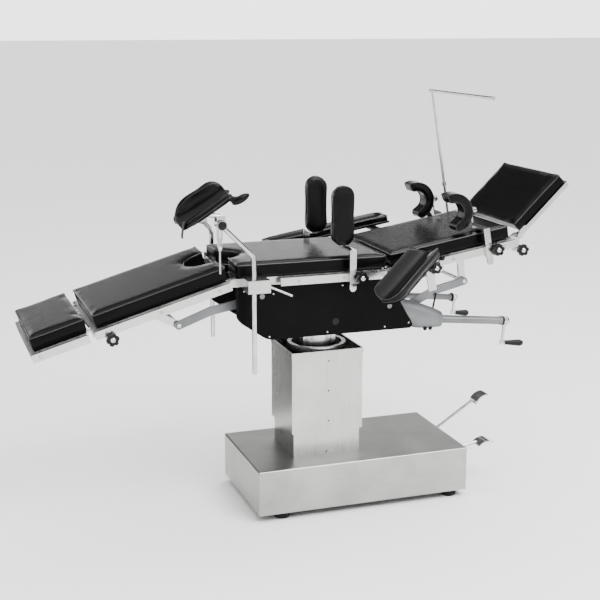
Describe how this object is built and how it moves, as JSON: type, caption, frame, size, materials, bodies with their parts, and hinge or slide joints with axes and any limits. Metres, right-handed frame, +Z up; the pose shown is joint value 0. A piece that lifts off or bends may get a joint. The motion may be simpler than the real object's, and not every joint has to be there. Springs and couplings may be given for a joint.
{
  "type": "operating table",
  "caption": "Sectioned patient table on a telescoping column: tilting top with padded leg, seat, back and head sections, crank drives, pedals and clamped rests.",
  "frame": {"origin": "on the floor under the centre of the base", "axes": "+X towards the head end, +Y towards the side away from the foot crank, +Z up"},
  "size_m": [2.1743, 0.9429, 1.6308],
  "materials": {
    "dark_paint": "matte",
    "steel": "brushed",
    "bright_steel": "polished",
    "grey_casting": "satin",
    "black_rubber": "matte",
    "black_plastic": "satin",
    "black_cover": "satin"
  },
  "bodies": {
    "base": {"base_cover": "steel", "base_plate": "grey_casting", "base_feet": "black_rubber", "column_cover": "steel"},
    "lift": {"column_sleeve": "steel", "sleeve_top": "dark_paint", "tilt_head": "grey_casting"},
    "cross": {"tilt_cross": "grey_casting"},
    "table": {"housing_covers": "dark_paint", "seat_frame": "steel", "seat_rails": "steel", "seat_mattress": "black_cover", "tilt_drive": "grey_casting", "back_drive": "grey_casting", "seat_clamps": "steel", "side_knobs": "black_plastic"},
    "back": {"back_frame": "steel", "back_rails": "steel", "back_mattress": "black_cover", "back_clamps": "steel", "head_knobs": "black_plastic", "shoulder_knobs": "black_plastic"},
    "head": {"head_frame": "steel", "head_mattress": "black_cover"},
    "leg": {"leg_frame": "steel", "leg_rails": "steel", "leg_mattress": "black_cover", "foot_knobs": "black_plastic"},
    "foot": {"foot_frame": "steel", "foot_mattress": "black_cover"},
    "lever_of_leg": {"leg_lever": "steel"},
    "link_of_leg": {"leg_link": "steel"},
    "lever_of_back": {"back_lever": "steel"},
    "link_of_back": {"back_link": "steel"},
    "crank_of_tilt": {"tilt_crank": "bright_steel"},
    "grip_of_tilt": {"tilt_crank_grip": "black_plastic"},
    "crank_of_back": {"back_crank": "bright_steel"},
    "grip_of_back": {"back_crank_grip": "black_plastic"},
    "clutch": {"clutch_lever": "bright_steel"},
    "pedal_lift": {"lift_pedal": "steel"},
    "pedal_release": {"release_pedal": "steel"},
    "screen_bar": {"screen": "bright_steel"},
    "side_near": {"side_strip_near": "steel", "side_pad_near": "black_cover"},
    "shoulder_near": {"shoulder_strip_near": "steel", "shoulder_pad_near": "black_cover"},
    "arm_near": {"arm_tray_near": "steel", "arm_pad_near": "black_cover"},
    "pole_near": {"crutch_pole_near": "bright_steel"},
    "crutch_near": {"crutch_fork_near": "steel", "crutch_pad_near": "black_cover"},
    "side_far": {"side_strip_far": "steel", "side_pad_far": "black_cover"},
    "shoulder_far": {"shoulder_strip_far": "steel", "shoulder_pad_far": "black_cover"},
    "arm_far": {"arm_tray_far": "steel", "arm_pad_far": "black_cover"},
    "pole_far": {"crutch_pole_far": "bright_steel"},
    "crutch_far": {"crutch_fork_far": "steel", "crutch_pad_far": "black_cover"}
  },
  "joints": [
    {"name": "column_lift", "type": "slide", "parent": "base", "child": "lift", "axis": [0, 0, 1], "range_m": [-0.09, 0.16]},
    {"name": "lateral_tilt", "type": "hinge", "parent": "lift", "child": "cross", "pos_m": [-0.123, 0, 0.78], "axis": [1, 0, 0], "range_deg": [-20, 20]},
    {"name": "long_tilt", "type": "hinge", "parent": "cross", "child": "table", "pos_m": [-0.123, 0, 0.78], "axis": [0, 1, 0], "range_deg": [-25, 25]},
    {"name": "back_hinge", "type": "hinge", "parent": "table", "child": "back", "pos_m": [0.086, 0, 0.96], "axis": [0, -1, 0], "range_deg": [-24.5, 60], "deforming": ["seat_mattress"]},
    {"name": "head_hinge", "type": "hinge", "parent": "back", "child": "head", "pos_m": [0.6577, 0, 1.07595], "axis": [0, 1, 0], "range_deg": [-10.5, 106]},
    {"name": "leg_hinge", "type": "hinge", "parent": "table", "child": "leg", "pos_m": [-0.538, 0, 0.96], "axis": [0, -1, 0], "range_deg": [-31.2, 73.8]},
    {"name": "foot_slide", "type": "slide", "parent": "leg", "child": "foot", "axis": [-0.9603, 0, -0.279], "range_m": [0, 0.02]},
    {"name": "leg_lever_pivot", "type": "hinge", "parent": "table", "child": "lever_of_leg", "pos_m": [-0.4194, 0, 0.9008], "axis": [0, -1, 0], "range_deg": [-31.2, 73.8]},
    {"name": "leg_link_pivot", "type": "hinge", "parent": "lever_of_leg", "child": "link_of_leg", "pos_m": [-0.72207, 0, 0.79204], "axis": [0, -1, 0], "range_deg": [-73.8, 31.2]},
    {"name": "back_lever_pivot", "type": "hinge", "parent": "table", "child": "lever_of_back", "pos_m": [0.102, 0, 0.825], "axis": [0, -1, 0], "range_deg": [-24.5, 60]},
    {"name": "back_link_pivot", "type": "hinge", "parent": "lever_of_back", "child": "link_of_back", "pos_m": [0.46561, 0, 0.88179], "axis": [0, -1, 0], "range_deg": [-60, 24.5]},
    {"name": "tilt_crank_turn", "type": "hinge", "parent": "table", "child": "crank_of_tilt", "pos_m": [0.338, -0.18, 0.745], "axis": [0.9945, 0, -0.1045], "continuous": true},
    {"name": "tilt_grip_turn", "type": "hinge", "parent": "crank_of_tilt", "child": "grip_of_tilt", "pos_m": [0.62376, -0.18, 0.62246], "axis": [0.9945, 0, -0.1045], "continuous": true},
    {"name": "back_crank_turn", "type": "hinge", "parent": "table", "child": "crank_of_back", "pos_m": [0.338, 0.18, 0.765], "axis": [0.9945, 0, -0.1045], "continuous": true},
    {"name": "back_grip_turn", "type": "hinge", "parent": "crank_of_back", "child": "grip_of_back", "pos_m": [0.57356, 0.18, 0.67187], "axis": [0.9945, 0, -0.1045], "continuous": true},
    {"name": "clutch_turn", "type": "hinge", "parent": "table", "child": "clutch", "pos_m": [0.33, -0.141, 0.768], "axis": [0, 1, 0], "range_deg": [-12, 12]},
    {"name": "lift_pedal_press", "type": "hinge", "parent": "base", "child": "pedal_lift", "pos_m": [0.38, 0.1, 0.121], "axis": [0, 1, 0], "range_deg": [0, 9], "stiffness_Nm_per_rad": 40, "springref_deg": -5.73},
    {"name": "release_pedal_press", "type": "hinge", "parent": "base", "child": "pedal_release", "pos_m": [0.38, -0.1, 0.142], "axis": [0, 1, 0], "range_deg": [0, 8], "stiffness_Nm_per_rad": 30, "springref_deg": -5.73},
    {"name": "side_height_near", "type": "slide", "parent": "table", "child": "side_near", "axis": [0, 0, 1], "range_m": [-0.02, 0.015]},
    {"name": "shoulder_height_near", "type": "slide", "parent": "back", "child": "shoulder_near", "axis": [-0.165, 0, 0.9863], "range_m": [-0.005, 0.02]},
    {"name": "crutch_height_near", "type": "slide", "parent": "table", "child": "pole_near", "axis": [0, 0, 1], "range_m": [-0.03, 0.12]},
    {"name": "crutch_tilt_near", "type": "hinge", "parent": "pole_near", "child": "crutch_near", "pos_m": [-0.602, -0.3, 1.198], "axis": [0, 1, 0], "range_deg": [-20, 20]},
    {"name": "side_height_far", "type": "slide", "parent": "table", "child": "side_far", "axis": [0, 0, 1], "range_m": [-0.02, 0.015]},
    {"name": "shoulder_height_far", "type": "slide", "parent": "back", "child": "shoulder_far", "axis": [-0.165, 0, 0.9863], "range_m": [-0.005, 0.02]},
    {"name": "crutch_height_far", "type": "slide", "parent": "table", "child": "pole_far", "axis": [0, 0, 1], "range_m": [-0.03, 0.12]},
    {"name": "crutch_tilt_far", "type": "hinge", "parent": "pole_far", "child": "crutch_far", "pos_m": [-0.513, 0.3, 1.118], "axis": [0, 1, 0], "range_deg": [-20, 20]},
    {"name": "arm_swing_near", "type": "hinge", "parent": "back", "child": "arm_near", "pos_m": [0.26156, -0.29, 0.98938], "axis": [-0.165, 0, 0.9863], "range_deg": [-5, 60]},
    {"name": "arm_swing_far", "type": "hinge", "parent": "back", "child": "arm_far", "pos_m": [0.26156, 0.29, 0.98938], "axis": [0.165, 0, -0.9863], "range_deg": [0, 60]},
    {"name": "screen_height", "type": "slide", "parent": "back", "child": "screen_bar", "axis": [-0.165, 0, 0.9863], "range_m": [-0.14, 0.015]}
  ],
  "couplings": [
    {"joint": "leg_lever_pivot", "follows": "leg_hinge", "ratio": 1},
    {"joint": "leg_link_pivot", "follows": "leg_hinge", "ratio": -1},
    {"joint": "back_lever_pivot", "follows": "back_hinge", "ratio": 1},
    {"joint": "back_link_pivot", "follows": "back_hinge", "ratio": -1}
  ]
}
